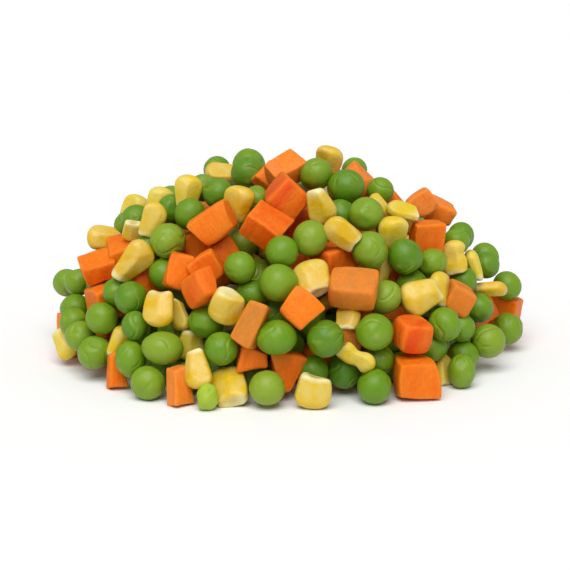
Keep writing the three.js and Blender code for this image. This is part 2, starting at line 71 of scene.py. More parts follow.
# Peas: u and v of the middle in the photograph, diameter, how far behind the mound's surface, tone
# from 0, deep green, to 0.9, pale, with 1 for a crumpled hull, and how much taller than wide. Sizes
# along x, y and z, waves, flats, folds and scar are shares of the diameter or the radius, and where a
# fold or scar lies is in radians.
peas = {
    "small": 7.2, "large": 8.9, "fit": 0.98, "ripe": 0.45,
    "least": (0.97, 0.95, 0.93), "most": (1.05, 1.02, 1.02), "loose": (1.02, 1, 0.96),
    "formMiddle": (0, 0), "formSpread": (0.03, 0),
    "plump": 1.01, "sway": 0.026, "swayPace": (1.2, 2.4),
    "wrinkle": 0.006, "crumple": 0.09, "wrinklePace": (4, 7),
    "flats": 4, "flatAt": (0.89, 1.07), "flatSharpness": 45,
    "folds": ((0.3, 0.6), (0.6, 1.1)), "foldAside": 0.7, "foldWave": 0.12, "foldReach": (-0.4, 0.5),
    "foldDepth": (-0.8, 1), "foldHeight": 0.05, "grooveWidth": 0.12,
    "lipShare": 0.6, "lipAt": 0.22, "lipWidth": 0.15, "markAt": 0.16,
    "scarDepth": 0.03, "scarWidth": 0.16, "scarMark": 0.15,
    "fineCuts": 14, "coarseCuts": 6,
    "seen": [
        (78.5, 282, 7.2, 0, 0.6, 0), (67, 283, 7.0, 4, 0.6, 0), (75, 309, 7.3, 3, 0.5, 0),
        (74, 322, 6.9, 0, 0.5, 0), (81, 336, 7.4, 0, 0.7, 0), (95, 352, 8.2, 0, 0.6, 0),
        (102, 318.5, 7.9, 0, 0.6, 0), (131, 298, 8.0, 0, 0.2, 0), (117, 292, 7.0, 4, 0.3, 0),
        (135, 326, 7.0, 0, 0.2, 0.05), (162.5, 348, 8.5, 0, 0.8, -0.1), (130.5, 359, 7.9, 0, 0.5, 0.08),
        (148, 382.5, 8.4, 0, 0.7, 0), (163, 274, 7.2, 2, 0.4, 0), (206, 322, 8.3, 0, 0.4, -0.06),
        (221, 349, 8.0, 2, 0.3, 0), (173, 333, 7.6, 7, 0.5, 0), (168, 241, 8.6, 0, 0.8, -0.02),
        (150, 246, 7.0, 5, 0.5, 0), (190, 214, 7.6, 0, 0.3, 0), (171, 209, 6.8, 4, 0.2, 0),
        (171, 200, 7.0, 8, 0.6, 0), (136, 219, 7.0, 1, 0.3, 0), (127, 225, 6.5, 5, 0.4, 0),
        (218, 193, 7.3, 0, 0.2, 0), (203, 188, 7.0, 5, 0.6, 0), (217, 170, 7.2, 4, 0.4, 0),
        (248, 173, 8.3, 0, 0.2, 0), (249, 166, 8.4, 7, 0.5, 0), (257, 200, 7.0, 4, 0.6, 0),
        (315, 174, 8.0, 0, 0.6, 0), (345, 187, 9.0, 0, 0.2, -0.02), (354, 171, 6.8, 7, 0.5, 0),
        (366, 214.5, 8.2, 0, 0.7, 0), (341, 214, 7.5, 5, 0.2, 0), (311, 238.5, 8.2, 1, 0.8, 0.02),
        (282, 252, 8.0, 1, 0.4, 0), (279, 283.5, 8.9, 0, 0.6, 0), (240, 268, 7.6, 1, 0.5, 0),
        (251, 295, 7.4, 5, 0.2, 0), (241, 244, 7.5, 6, 0.8, 0), (276, 337, 8.7, 0, 0.4, -0.05),
        (267, 387.5, 8.2, 0, 0.9, 0), (325.5, 339, 8.5, 0, 0.1, 0), (313, 371, 7.4, 3, 0.2, 0),
        (344, 371, 8.0, 4, 0.0, 0.04), (250, 374, 7.8, 7, 0.2, 0), (368.5, 250, 8.7, 0, 0.7, 0.04),
        (405, 256.5, 8.6, 0, 0.1, 0.01), (432, 263, 7.0, 1, 0.6, 0), (380, 191, 6.8, 3, 0.5, 0),
        (384.5, 297, 8.1, 0, 0.85, 0), (374, 332, 8.9, 0, 0.5, -0.01), (374.5, 386.5, 8.3, 0, 0.3, -0.02),
        (412, 285, 7.4, 5, 0.4, 0), (444.5, 325, 8.0, 0, 0.5, 0.02), (461, 328, 7.0, 5, 0.4, 0),
        (463, 356, 7.8, 4, 0.4, 0), (461, 371, 7.6, 0, 0.6, 0.1), (488, 341, 8.2, 0, 0.8, 0),
        (508, 328, 7.8, 0, 0.6, 0), (478, 308, 7.8, 0, 0.3, 0), (507, 286, 7.3, 2, 0.5, 0),
        (463, 281, 6.9, 2, 0.3, 0), (456, 242, 6.7, 1, 0.4, 0), (461, 236, 7.0, 5, 0.3, 0),
        (486, 265, 6.8, 0, 0.2, 0), (485, 257, 7.2, 4, 0.5, 0), (457, 310, 7.0, 5, 0.2, 0),
        (383, 360, 7.6, 6, 0.4, 0), (433, 347, 7.0, 6, 0.5, 0), (272, 312, 7.5, 7, 0.4, 0),
        (101, 285, 7.4, 5, 0.3, 0), (208, 397, 5.6, 0.5, 1.0, 0.1),
    ],
}

# Kernels: u and v, length and width, then in degrees the way the crown points in the photograph
# (0 right, 90 up), its tip towards the viewer and its turn about its own length, how far behind, the
# share of its width that is left at the cut end, the pinch about its middle, and tone from 0, deep
# yellow, to 1, cream. Where planes, hollow and husk lie is in shares of half its size.
kernels = {
    "narrow": 6.8, "wide": 8.4, "length": 1.12, "lengthSpread": 0.12, "thickness": 0.62, "under": 0.4,
    "formMiddle": (0.72, 0.04), "formSpread": (0.16, 0.04),
    "shoulders": 0.22, "crown": 0.24, "waist": (0.16, 0.08, 0.92), "foot": 0.75,
    "widening": 0.6, "squareFoot": 4.0, "roundCrown": (2.0, 2.4), "sharpness": (13, 30),
    "sideLean": 0.2, "sideAt": 0.98, "ridge": (0.3, 0.8), "ridgeAside": 0.3,
    "cutLean": 0.3, "cutAt": 0.92, "plump": 1.05,
    "hollow": (0.06, 0.26), "hollowFrom": 0.6, "hollowSlope": 4, "hollowLeast": 0.2,
    "hollowWidth": 0.62, "hollowDepth": 0.6, "hollowTop": -0.3,
    "pinchAt": 0.1, "pinchLean": 0.16, "pinchWidth": 0.3, "thin": (0.7, 0.95), "bend": 0.12,
    "sway": 0.025, "swayPace": (1.5, 4), "huskFrom": (-0.82, -0.64), "huskEdge": 0.18,
    "markSlope": 5, "markFrom": 0.3,
    "fineCuts": 14, "coarseCuts": 6,
    "seen": [
        (106, 238, 8.6, 6.4, 178, 10, 15, 1, 0.8, 0, 0.1), (134, 211, 8, 7, 60, 0, 0, 6, 0.7, 0, 0.6),
        (133, 230, 6.6, 5.6, -100, -50, 0, 3, 0.8, 0, 0.8), (152, 223, 8.8, 6.4, 68, 10, 10, 0, 0.7, 0, 0.3),
        (160, 204, 8, 7, 70, 0, 0, 6, 0.7, 0, 0.8), (187, 194, 8.8, 7.2, 82, 10, 0, 0, 0.65, 0, 0.6),
        (133, 263, 11, 8, 46, 8, 14, 0, 0.6, 0, 0), (160, 308, 8.8, 7.6, -94, 16, 10, 0, 0.85, 0, 0.05),
        (180, 314, 7.6, 6.2, -76, 0, 50, 2, 0.6, 0, 0.3), (64, 344, 7.6, 6, -60, 10, 10, 0, 0.6, 0, 0.7),
        (196.5, 369, 9.2, 7, -82, 10, 25, 0, 0.6, 0, 0.1),
        (228.5, 387, 10.4, 9, 108, -40, 0, 0, 0.85, 0.04, 0.3),
        (224, 172, 8.6, 7, 176, 0, 62, 2, 0.8, 0, 0.15), (238, 204, 8.6, 8, 75, 20, 0, 1, 0.7, 0, 0.2),
        (327.5, 161.5, 7.6, 7, 80, 25, 0, 1, 0.8, 0, 0.2), (318, 205, 8.8, 7.6, -70, -15, 0, 1, 0.6, 0, 0.3),
        (342.5, 236, 9, 6.6, 145, 5, -28, 0, 0.85, 0, 0.1),
        (313.5, 279, 9, 8.8, 105, -24, 0, 0, 0.85, 0, 0.2),
        # The kernel at (346, 321), deep between others, has the deepest yellow partly as painted shade.
        (227, 307, 9, 8.8, -105, -36, 0, 0, 0.85, 0, 0.25), (346, 321, 6, 6, 80, -25, 0, 5.5, 0.8, 0, 0),
        (313, 392, 8.4, 8.4, -100, -20, 0, 0, 0.9, 0, 0.4),
        (356, 357, 9.4, 6.2, -32, 0, 50, 0, 0.8, 0.3, 0.7),
        (393, 233, 7.8, 7.4, 85, 25, 0, 1, 0.8, 0, 0.5), (403, 212, 8, 7, 165, 0, 68, 1, 0.7, 0, 0.6),
        (384, 208, 8.4, 6.4, 130, 0, 60, 3, 0.6, 0, 0.5), (455, 258, 8.4, 6.2, 95, 5, 0, 0, 0.9, 0.24, 0.4),
        (474, 266, 7.8, 6, 108, 0, 78, 2, 0.6, 0, 0.9), (422, 297, 9.8, 9.2, 204, 12, 0, 0, 0.66, 0, 0.25),
        (440, 290, 8.2, 7, 88, 0, 50, 2, 0.8, 0.05, 0.4), (489.5, 290, 8.2, 6.6, 2, 0, 70, 0, 0.9, 0, 0),
        (444, 372, 8, 6, 90, -20, 60, 5, 0.8, 0, 0.6), (384, 268, 8, 6.5, 80, 0, 60, 7, 0.7, 0, 0.3),
        (119, 344, 8, 7, 60, 0, 0, 6.5, 0.7, 0, 0.5), (192, 344, 8, 7, -95, -20, 0, 5.5, 0.7, 0, 0.9),
    ],
}

# Dice: u and v, width, height and thickness, then in degrees yaw, tip towards the viewer and roll in
# the photograph, how far behind, by how much they narrow upwards and to the right, and tone from 0,
# deep orange, to 1, tan. Edges, waves and the carrot's core are in millimetres, and how far corners
# and faces give is in shares of the smallest side.
dice = {
    "small": 7.8, "large": 9.6, "widthSpread": 0.06, "depthSpread": 0.08,
    "formMiddle": (0, 0), "formSpread": (0.12, 0.12), "cornerBall": 0.2,
    "edge": (0.4, 1.0), "pull": 0.08, "wear": (-0.03, 0.09), "swell": (0.01, 0.03), "swellFrom": 0.8,
    "sway": 0.2, "swayPace": (1.2, 3), "ripple": 0.05, "ripplePace": (5, 10),
    "coreAway": (2, 9), "coreRadius": (3, 7), "coreEdge": 0.8, "markFrom": 1.3, "markWidth": 0.7,
    "fineCuts": 14, "coarseCuts": 6,
    "seen": [
        (99, 266, 8.2, 5, 7.6, 8, 34, 14, 1, -0.06, 0.1, 0.5),
        (126, 256, 9.3, 8, 9, 0, 28, 13, 5, 0.1, 0, 0.55),
        (108, 300, 8.5, 8, 8.5, 20, 10, 10, 4, 0.1, 0, 0.6), (146, 283, 8, 8, 8, 30, 20, 10, 7, 0, 0, 0),
        (116, 370, 3.4, 8, 3.6, 20, 0, 8, 1, 0.3, 0, 0.6),
        (179.5, 388, 4.8, 8.9, 4.4, 36, 0, 7, 0, 0.1, 0, 0.88),
        (214, 223.5, 9.9, 7.8, 8, -12, 5, 35, 0, -0.13, 0, 0.62),
        (266, 227, 8.4, 7, 7.4, -8, 45, -32, 0, -0.08, -0.1, 0.35),
        (287, 197, 8.8, 8.4, 9, 16, 3, -46, 1, 0, 0, 0.1),
        (285.5, 172, 8.3, 6.3, 6.4, 36, 48, 3, 2, 0, 0, 0.85),
        (193, 246, 7, 7, 7, 10, 10, 45, 6, 0, 0, 0.5), (181, 271.5, 6.4, 8.4, 7, 8, 0, -12, 2, 0.1, 0, 0.35),
        (205, 267, 7.4, 7, 7.5, -8, 8, 38, 4, 0, 0, 0.5), (201.5, 287, 5, 6.8, 9, 34, -15, 22, 0, 0, 0, 0.35),
        (354, 288, 10.6, 6.5, 7.8, -4, 50, -2, 1, -0.04, 0, 0.95),
        # This die, and those at (224, 256), (299, 222) and (398, 270), seen only between others, have the
        # deepest orange tones partly as painted shade.
        (333, 262, 8.6, 8.6, 8.6, 40, 20, 0, 6, 0, 0, 0),
        (299.4, 309.5, 7.9, 7.9, 8, 4, -4, 48, 0, 0.04, 0, 0.6),
        (252, 324, 5.2, 10.4, 7, -12, 0, -27, 1, 0.12, 0, 1.0),
        (252, 356.5, 6.8, 5.2, 6, 10, 10, -8, 3, 0, 0.35, 0.5),
        (285, 371, 5.8, 9.4, 6.4, 15, 5, -8, 3, -0.5, 0, 0.6),
        (413.5, 377, 9.2, 9.6, 9, 14, 14, 1, 0, 0.02, 0, 0.6),
        (411, 333, 7.8, 7.3, 7.6, 25, 24, -11, 0, -0.08, 0, 0.15),
        (426, 236, 8, 7.5, 7.8, 12, 15, -5, 0, 0, 0, 0.5), (421, 203, 6.4, 6, 6, 0, 10, 40, 2, 0, 0, 0.85),
        (439, 211, 7.2, 5.4, 6.6, 10, 20, -26, 2, 0, 0.2, 0.85), (357, 182, 8, 7, 7, 5, 8, -44, 6, 0, 0, 0.8),
        (386, 203, 8, 7.5, 8, 0, 5, -43, 6, 0, 0, 0.3), (457, 297.5, 6.6, 6.2, 7, 15, 10, -30, 2, 0, 0, 0.97),
        (505, 310, 7.4, 7, 7.5, -20, 10, -8, 2, 0, 0, 0.5), (224, 256, 7, 8, 7, 10, 10, 30, 7, 0, 0, 0.1),
        (299, 222, 8, 8, 8, 20, 20, 0, 8, 0, 0, 0), (346, 336, 7, 7, 7, 20, 10, 0, 6, 0, 0, 0.95),
        (362, 317, 8, 8, 8, 30, 30, 0, 6, 0, 0, 0.4), (398, 270, 7.5, 7.5, 7.5, 10, 10, 0, 8, 0, 0, 0),
        (269, 178, 6, 6, 6, 20, 0, 45, 5, 0, 0, 0.7),
    ],
}


def turnAbout(axis, degrees):
    # Rotation matrices about X, Y or Z (0, 1 or 2), one for each angle.
    angles = np.radians(np.atleast_1d(degrees))
    turns = np.zeros((len(angles), 3, 3))
    one, two = (axis + 1) % 3, (axis + 2) % 3
    turns[:, axis, axis] = 1
    turns[:, one, one] = turns[:, two, two] = np.cos(angles)
    turns[:, two, one] = np.sin(angles)
    turns[:, one, two] = -turns[:, two, one]
    return turns


def turnBySpin(spin, angle):
    # Rodrigues' formula, with the angle limited.
    axis = spin / np.maximum(angle, 1e-12)[:, None]
    angle = np.minimum(angle, settling["widest"])[:, None, None]
    cross = np.zeros((len(axis), 3, 3))
    cross[:, 2, 1], cross[:, 0, 2], cross[:, 1, 0] = axis.T
    cross -= cross.transpose(0, 2, 1)
    return np.eye(3) + np.sin(angle) * cross + (1 - np.cos(angle)) * (cross @ cross)


def unit(vectors):
    # Each vector over its own length.
    return vectors / np.linalg.norm(vectors, axis=-1, keepdims=True)


def between(low, high, share):
    # From low, at share 0, to high, at share 1.
    return low + (high - low) * share


def dome(distance, width):
    # A bell curve: e to the power of minus (distance / width) squared.
    return np.exp(-(distance / width) ** 2)


def evenDraws(seed, count):
    # A linear congruential generator: count numbers from 0 to 1.
    draws = np.empty(count)
    for n in range(count):
        seed = (seed * 1664525 + 1013904223) % 2**32
        draws[n] = seed / 2**32
    return draws


def outwardness(points, inset=0.0):
    # 0 in the middle of the mound, and 1 on its surface taken in by inset.
    return np.linalg.norm(points / (heap["mound"] - np.reshape(inset, (-1, 1))), axis=1)


def meanRadius(size):
    # Half the cube root of width by depth by height.
    return np.cbrt(size.prod(axis=-1)) / 2


facing = turnAbout(0, -view["elevation"])[0]     # right, away and upward for the viewer, as columns
eye = np.array([0, 0, view["aimHeight"]]) - view["distance"] * facing[:, 1]


def layAlongSight(u, v, radius, behind):
    # Where the line of sight through each pixel meets the mound taken in by the radius, or passes it
    # closest, and then behind that by so much, but not under the floor.
    across = (u - view["centre"]) / view["focal"]
    rise = (view["centre"] - v) / view["focal"]
    lines = unit(facing[:, 1] + across[:, None] * facing[:, 0] + rise[:, None] * facing[:, 2])
    axes = heap["mound"] - radius[:, None]
    start, along = eye / axes, lines / axes
    a, b, c = (along**2).sum(1), (start * along).sum(1), (start**2).sum(1) - 1
    toMound = (-b - np.sqrt(np.maximum(b * b - a * c, 0))) / a + behind
    toFloor = (heap["foot"] * radius - eye[2]) / lines[:, 2]
    return lines, eye + lines * np.minimum(toMound, toFloor)[:, None]


def seenPieces(draws):
    # The pieces in the tables. Form is how much taller than wide and how crumpled a pea is, a kernel's
    # share of width at its cut end and its pinch, and a die's taper and wedge.
    u, v, across, behind, peaTone, tall = np.array(peas["seen"]).T
    across = across * peas["fit"]
    peaSize = across[:, None] * between(np.array(peas["least"]), np.array(peas["most"]), draws[:, :3])
    peaTurn = turnAbout(1, 360 * draws[:, 3]) @ turnAbout(0, 360 * draws[:, 4])
    peaPlace = layAlongSight(u, v, across / 2, behind)

    u, v, length, width, crown, tip, spin, behind, narrow, pinch, kernelTone = np.array(kernels["seen"]).T
    kernelSize = np.stack([width, kernels["thickness"] * width, length], 1)
    kernelTurn = facing @ turnAbout(1, 90 - crown) @ turnAbout(0, tip) @ turnAbout(2, spin)
    kernelPlace = layAlongSight(u, v, kernels["under"] * width, behind)

    u, v, width, height, thickness, yaw, tip, roll, behind, taper, wedge, dieTone = np.array(dice["seen"]).T
    dieSize = np.stack([width, thickness, height], 1)
    dieTurn = facing @ turnAbout(1, -roll) @ turnAbout(0, tip) @ turnAbout(2, yaw)
    diePlace = layAlongSight(u, v, dieSize.min(1) / 2, behind)

    lines, centres = (np.concatenate(both) for both in zip(peaPlace, kernelPlace, diePlace))
    crumpled = peas["crumple"] * (peaTone == 1)
    forms = [np.stack(pair, 1) for pair in ((tall, crumpled), (narrow, pinch), (taper, wedge))]
    return {
        "kind": np.repeat(["pea", "kernel", "die"], [len(each) for each in forms]),
        "size": np.concatenate([peaSize, kernelSize, dieSize]),
        "turn": np.concatenate([peaTurn, kernelTurn, dieTurn]),
        "centre": centres,
        "line": lines,
        "tone": np.concatenate([peaTone, kernelTone, dieTone]),
        "form": np.concatenate(forms),
    }


def fillingSites():
    # A close-packed lattice: rows in layers, each layer shifted by a third.
    spacing = heap["spacing"]
    row, layer = spacing * math.sqrt(3) / 2, spacing * math.sqrt(2 / 3)
    reach = 2 * (math.ceil(heap["mound"][0] / spacing) + 1)
    layers = math.ceil(heap["mound"][2] / layer) + 1
    steps = range(-reach, reach + 1)
    k, j, i = np.meshgrid(range(layers), steps, steps, indexing="ij")
    sites = [(i + 0.5 * (j % 2) + 0.5 * (k % 3)) * spacing, (j + (k % 3) / 3) * row,
             heap["depth"] + k * layer]
    return np.stack(sites, -1).reshape(-1, 3)


def isInTheWay(places, radius, seen):
    # Whether each loose piece would start in a seen piece, or nearer to the viewer than one and close to
    # the line of sight to it.
    seenRadius = meanRadius(seen["size"])
    fromEye = (places - eye)[:, None]
    toSeen = seen["centre"] - eye
    apart = np.linalg.norm(fromEye - toSeen, axis=2)
    line = unit(fromEye)
    aside = np.linalg.norm(toSeen - line * (toSeen * line).sum(2, keepdims=True), axis=2)
    nearer = np.linalg.norm(fromEye, axis=2) < np.linalg.norm(toSeen, axis=1) + clear["nearer"] * radius
    hiding = (aside < clear["aside"] * (seenRadius + clear["girth"] * radius)) & nearer
    return ((apart < clear["apart"] * (seenRadius + radius)) | hiding).any(1)


def fillingPieces(sites, draws, seen):
    # A loose piece at each shaken site between the two shells, its kind, size and turn by even draws.
    shake = heap["shake"] * np.array([1, 1, 0.5])
    places = sites + between(-shake, shake, draws[:, :3])
    share, growth, aspect = draws[:, 3], draws[:, 4], between(-1, 1, draws[:, 5])
    first, second, third = 360 * draws[:, 6:9].T
    turns = turnAbout(2, first) @ turnAbout(0, second) @ turnAbout(2, third)
    isPea = share < heap["peaShare"]
    isKernel = ~isPea & (share < heap["peaShare"] + heap["kernelShare"])
    across = between(peas["small"], peas["large"], growth)
    width = between(kernels["narrow"], kernels["wide"], growth)
    length = width * (kernels["length"] + kernels["lengthSpread"] * aspect)
    edge = between(dice["small"], dice["large"], growth)
    dieSize = np.stack([edge * (1 + dice["widthSpread"] * aspect), edge * (1 - dice["depthSpread"] * aspect),
                        edge], 1)
    kernelSize = np.stack([width, kernels["thickness"] * width, length], 1)
    size = np.where(isPea[:, None], across[:, None] * np.array(peas["loose"]), dieSize)
    size = np.where(isKernel[:, None], kernelSize, size)
    keep = (outwardness(places, heap["depth"]) <= 1) & (outwardness(places) >= heap["hollow"])
    keep[keep] = ~isInTheWay(places[keep], meanRadius(size)[keep][:, None], seen)
    kinds = np.where(isPea, "pea", np.where(isKernel, "kernel", "die"))[keep]
    looks = np.random.default_rng(heap["looksSeed"])
    form = looks.uniform(-1, 1, (len(kinds), 2))
    for name, values in (("pea", peas), ("kernel", kernels), ("die", dice)):
        form[kinds == name] = values["formMiddle"] + values["formSpread"] * form[kinds == name]
    return {
        "kind": kinds, "size": size[keep], "turn": turns[keep], "centre": places[keep],
        "line": np.zeros((len(kinds), 3)), "tone": looks.uniform(0, heap["palest"], len(kinds)), "form": form,
    }


def ballsOf(kind, size):
    # The balls that stand for a piece while the heap settles: x, y, z and radius in the piece's own axes.
    # A pea is one, a kernel has three at its crown, two at its waist and one at its foot, and a die has
    # one inside and one in each corner and on each edge.
    x, y, z = size
    if kind == "pea":
        return [(0, 0, 0, meanRadius(size))]
    if kind == "kernel":
        r = y / 2
        shoulder, foot = kernels["shoulders"] * z, kernels["foot"] * r
        aside, under, slim = kernels["waist"] * np.array([x, z, r])
        return [(r - x / 2, 0, shoulder, r), (x / 2 - r, 0, shoulder, r), (0, 0, kernels["crown"] * z, r),
                (-aside, 0, -under, slim), (aside, 0, -under, slim), (0, 0, foot - 0.5 * z, foot)]
    r = dice["cornerBall"] * size.min()
    grid = [(i, j, k) for i in (-1, 0, 1) for j in (-1, 0, 1) for k in (-1, 0, 1)]
    rim = [(i * (x / 2 - r), j * (y / 2 - r), k * (z / 2 - r), r) for i, j, k in grid
           if abs(i) + abs(j) + abs(k) > 1]
    return [(0, 0, 0, size.min() / 2)] + rim


def closePairs(centre, places, radius, reach, counts):
    # The pairs of balls, of pieces near each other, that overlap or soon may.
    first = np.cumsum(counts) - counts
    apart = np.linalg.norm(centre[:, None] - centre, axis=2)
    a, b = np.nonzero(np.triu(apart < reach[:, None] + reach + settling["lookAround"], 1))
    i, j = (each.ravel() for each in np.meshgrid(range(counts.max()), range(counts.max()), indexing="ij"))
    real = (i < counts[a][:, None]) & (j < counts[b][:, None])
    one, other = (first[a][:, None] + i)[real], (first[b][:, None] + j)[real]
    distance = np.linalg.norm(places[one] - places[other], axis=1)
    close = distance < radius[one] + radius[other] + settling["lookClose"]
    return one[close], other[close]


def slidAlongSight(centre, step, start, line):
    # Seen pieces slide along their lines of sight, and are drawn back to them.
    far = np.linalg.norm(step, axis=1)
    dot = (step * line).sum(1)
    along = np.sign(dot) * np.minimum(settling["along"] * abs(dot), far)
    slide = along[:, None] * line + settling["sideways"] * (step - dot[:, None] * line)
    moved = centre + slide
    home = start - moved
    ahead = (home * line).sum(1)
    moved += settling["hold"] * (home - ahead[:, None] * line)
    moved += np.maximum(ahead - settling["ahead"], 0)[:, None] * line
    return moved


def rolledInwards(centre, step, number, inset):
    # Loose pieces are pulled inwards and down, ever less, and stay in the mound.
    pull = settling["pull"] * (1 - number / settling["rounds"])
    rolled = centre + step - pull * unit(centre / heap["mound"]**2) - np.array([0, 0, pull / 2])
    return rolled / np.maximum(outwardness(rolled, inset), 1)[:, None]


def settle(pieces):
    # Balls of two pieces that overlap push both apart, by their bulk, and turn the loose ones, the less
    # the further their balls reach out. A seen piece only gives way along its line of sight.
    centre, turn, size, line = (pieces[key].copy() for key in ("centre", "turn", "size", "line"))
    balls = [ballsOf(kind, each) for kind, each in zip(pieces["kind"], size)]
    counts = np.array([len(each) for each in balls])
    owner = np.repeat(np.arange(len(balls)), counts)
    table = np.concatenate([np.array(each, float) for each in balls])
    local, radius = table[:, :3], table[:, 3]
    bulk = size.prod(1)
    slowness = settling["inertia"] * (settling["inertia"] + np.bincount(owner, (local**2).sum(1)))
    reach = np.zeros(len(balls))
    np.maximum.at(reach, owner, np.linalg.norm(local, axis=1) + radius)
    loose = ~line.any(1)
    start = centre.copy()
    inset = heap["inset"] * meanRadius(size)
    for number in range(settling["rounds"]):
        arms = np.einsum("nij,nj->ni", turn[owner], local)
        places = centre[owner] + arms
        if number % settling["lookAgain"] == 0:
            one, other = closePairs(centre, places, radius, reach, counts)
        gap = places[one] - places[other]
        distance = np.linalg.norm(gap, axis=1) + 1e-9
        overlap = radius[one] + radius[other] - distance
        hit = overlap > 0
        push = gap[hit] * (overlap[hit] / distance[hit])[:, None]
        a, b = one[hit], other[hit]
        share = (bulk[owner[b]] / (bulk[owner[a]] + bulk[owner[b]]))[:, None]
        sunk = radius - places[:, 2]
        low = np.nonzero(sunk > 0)[0]
        lift = np.zeros((len(low), 3))
        lift[:, 2] = sunk[low]
        ball = np.concatenate([a, b, low])
        shove = np.concatenate([push * share, push * (share - 1), lift])
        twist = np.cross(arms[ball], shove)
        move, spin = (np.stack([np.bincount(owner[ball], each[:, n], len(counts)) for n in range(3)], 1)
                      for each in (shove, twist))
        hits = np.bincount(owner[ball], minlength=len(counts))
        step = move * (settling["firmness"] / np.maximum(hits, 1))[:, None]
        far = np.linalg.norm(step, axis=1)
        step *= np.minimum(1, settling["longestStep"] / np.maximum(far, 1e-12))[:, None]
        moved = slidAlongSight(centre, step, start, line)
        rolled = rolledInwards(centre, step, number, inset)
        centre = np.where(loose[:, None], rolled, moved)
        spin /= slowness[:, None]
        angle = np.linalg.norm(spin, axis=1)
        turn = np.where((loose & (angle > 1e-12))[:, None, None], turnBySpin(spin, angle) @ turn, turn)
    pieces.update(centre=centre, turn=turn)
    print("settled", len(counts), "pieces, the deepest overlap", round(float(overlap.max()), 2), "mm")


def layOutHeap():
    # The seen pieces take five draws for each pea, and the filling nine for each site.
    sites = fillingSites()
    peaDraws = 5 * len(peas["seen"])
    draws = evenDraws(heap["seed"], peaDraws + 9 * len(sites))
    seen = seenPieces(draws[:peaDraws].reshape(-1, 5))
    filling = fillingPieces(sites, draws[peaDraws:].reshape(-1, 9), seen)
    pieces = {key: np.concatenate([seen[key], filling[key]]) for key in seen}
    settle(pieces)

    # Peas are drawn out upwards in the photograph, or sideways, once they have settled.
    tall = np.where(pieces["kind"] == "pea", pieces["form"][:, 0], 0)[:, None, None]
    drawn = np.eye(3) + tall * (np.outer(facing[:, 2], facing[:, 2]) - np.outer(facing[:, 0], facing[:, 0]))
    pieces["turn"] = drawn @ pieces["turn"]
    return pieces


def cubeGrid(cuts):
    # The surface of a cube from -1 to 1: six square grids that share their edges, and the quads on them.
    steps = np.arange(cuts + 1)
    u, v = np.meshgrid(steps, steps, indexing="ij")
    corners = np.arange(u.size).reshape(u.shape)
    around = [corners[:-1, :-1], corners[1:, :-1], corners[1:, 1:], corners[:-1, 1:]]
    quad = np.stack(around, -1).reshape(-1, 4)
    points, quads = [], []
    for axis in range(3):
        for side in (0, cuts):
            grid = np.empty(u.shape + (3,), int)
            grid[..., axis], grid[..., (axis + 1) % 3], grid[..., (axis + 2) % 3] = side, u, v
            quads.append((quad if side else quad[:, ::-1]) + len(points) * u.size)
            points.append(grid.reshape(-1, 3))
    points, index = np.unique(np.concatenate(points), axis=0, return_inverse=True)
    return points * 2 / cuts - 1, index.reshape(-1)[np.concatenate(quads)]


def onBall(grid):
    # The cube's points pushed out onto a ball, evenly spread.
    return unit(np.tan(grid * np.pi / 4))


def waviness(points, count, pace, chance, terms=6):
    # For each of count pieces, the mean of cosine waves that run in random directions over the points.
    heading = unit(chance.normal(size=(count, terms, 3)))
    pace = chance.uniform(*pace, (count, terms))
    phase = chance.uniform(0, 2 * np.pi, (count, terms))
    angle = np.einsum("vj,ntj->nvt", points, heading) * pace[:, None] + phase[:, None]
    return np.cos(angle).mean(2) * np.sqrt(terms / 2)


def pressed(radius, direction, normal, distance, sharpness):
    # The radius cut by a plane for each piece, as the soft minimum of both: -log(sum of exp(-k r)) / k.
    toward = np.einsum("nj,vj->nv", normal, direction)
    limit = np.minimum(distance[:, None] / np.maximum(toward, 0.05), 3)
    return -np.log(np.exp(-sharpness * radius) + np.exp(-sharpness * limit)) / sharpness


def peaSurface(grid, size, form, outward, chance):
    # A ball whose radius waves a little, with flat places where other peas pressed on it in the pod, and
    # curved folds of loose skin, each a lip with a groove beside it. Pale is 1 on the scar where it grew
    # on the pod, and mark 1 on the lips.
    count = len(size)
    direction = onBall(grid)
    radius = peas["plump"] + peas["sway"] * waviness(direction, count, peas["swayPace"], chance)
    radius += (peas["wrinkle"] + form[:, 1:]) * waviness(direction, count, peas["wrinklePace"], chance)
    for _ in range(peas["flats"]):
        normal = unit(chance.normal(size=(count, 3)))
        flat = chance.uniform(*peas["flatAt"], count)
        radius = pressed(radius, direction, normal, flat, peas["flatSharpness"])
    mark = np.zeros(radius.shape)
    for bends in peas["folds"]:
        axis = unit(outward + peas["foldAside"] * unit(chance.normal(size=(count, 3))))
        side = unit(np.cross(axis, chance.normal(size=(count, 3))))
        angle = np.arccos(np.clip(axis @ direction.T, -1, 1))
        turn = np.arctan2(np.cross(axis, side) @ direction.T, side @ direction.T)
        bend = chance.uniform(*bends, (count, 1)) * (1 + peas["foldWave"] * np.cos(2 * turn))
        reach = chance.uniform(*peas["foldReach"], (count, 1))
        depth = np.clip(chance.uniform(*peas["foldDepth"], (count, 1)), 0, 1)
        depth = depth * np.clip(reach + np.cos(turn), 0, 1)
        lip = peas["lipShare"] * dome(angle - bend + peas["lipAt"], peas["lipWidth"])
        radius += peas["foldHeight"] * depth * (lip - dome(angle - bend, peas["grooveWidth"]))
        mark = np.maximum(mark, depth * dome(angle - bend + peas["markAt"], peas["grooveWidth"]))
    scar = np.arccos(np.clip(direction[:, 2], -1, 1))
    radius -= peas["scarDepth"] * dome(scar, peas["scarWidth"])
    pale = dome(scar, peas["scarMark"]) + np.zeros(radius.shape)
    return radius[..., None] * direction * (size / 2)[:, None], pale, mark


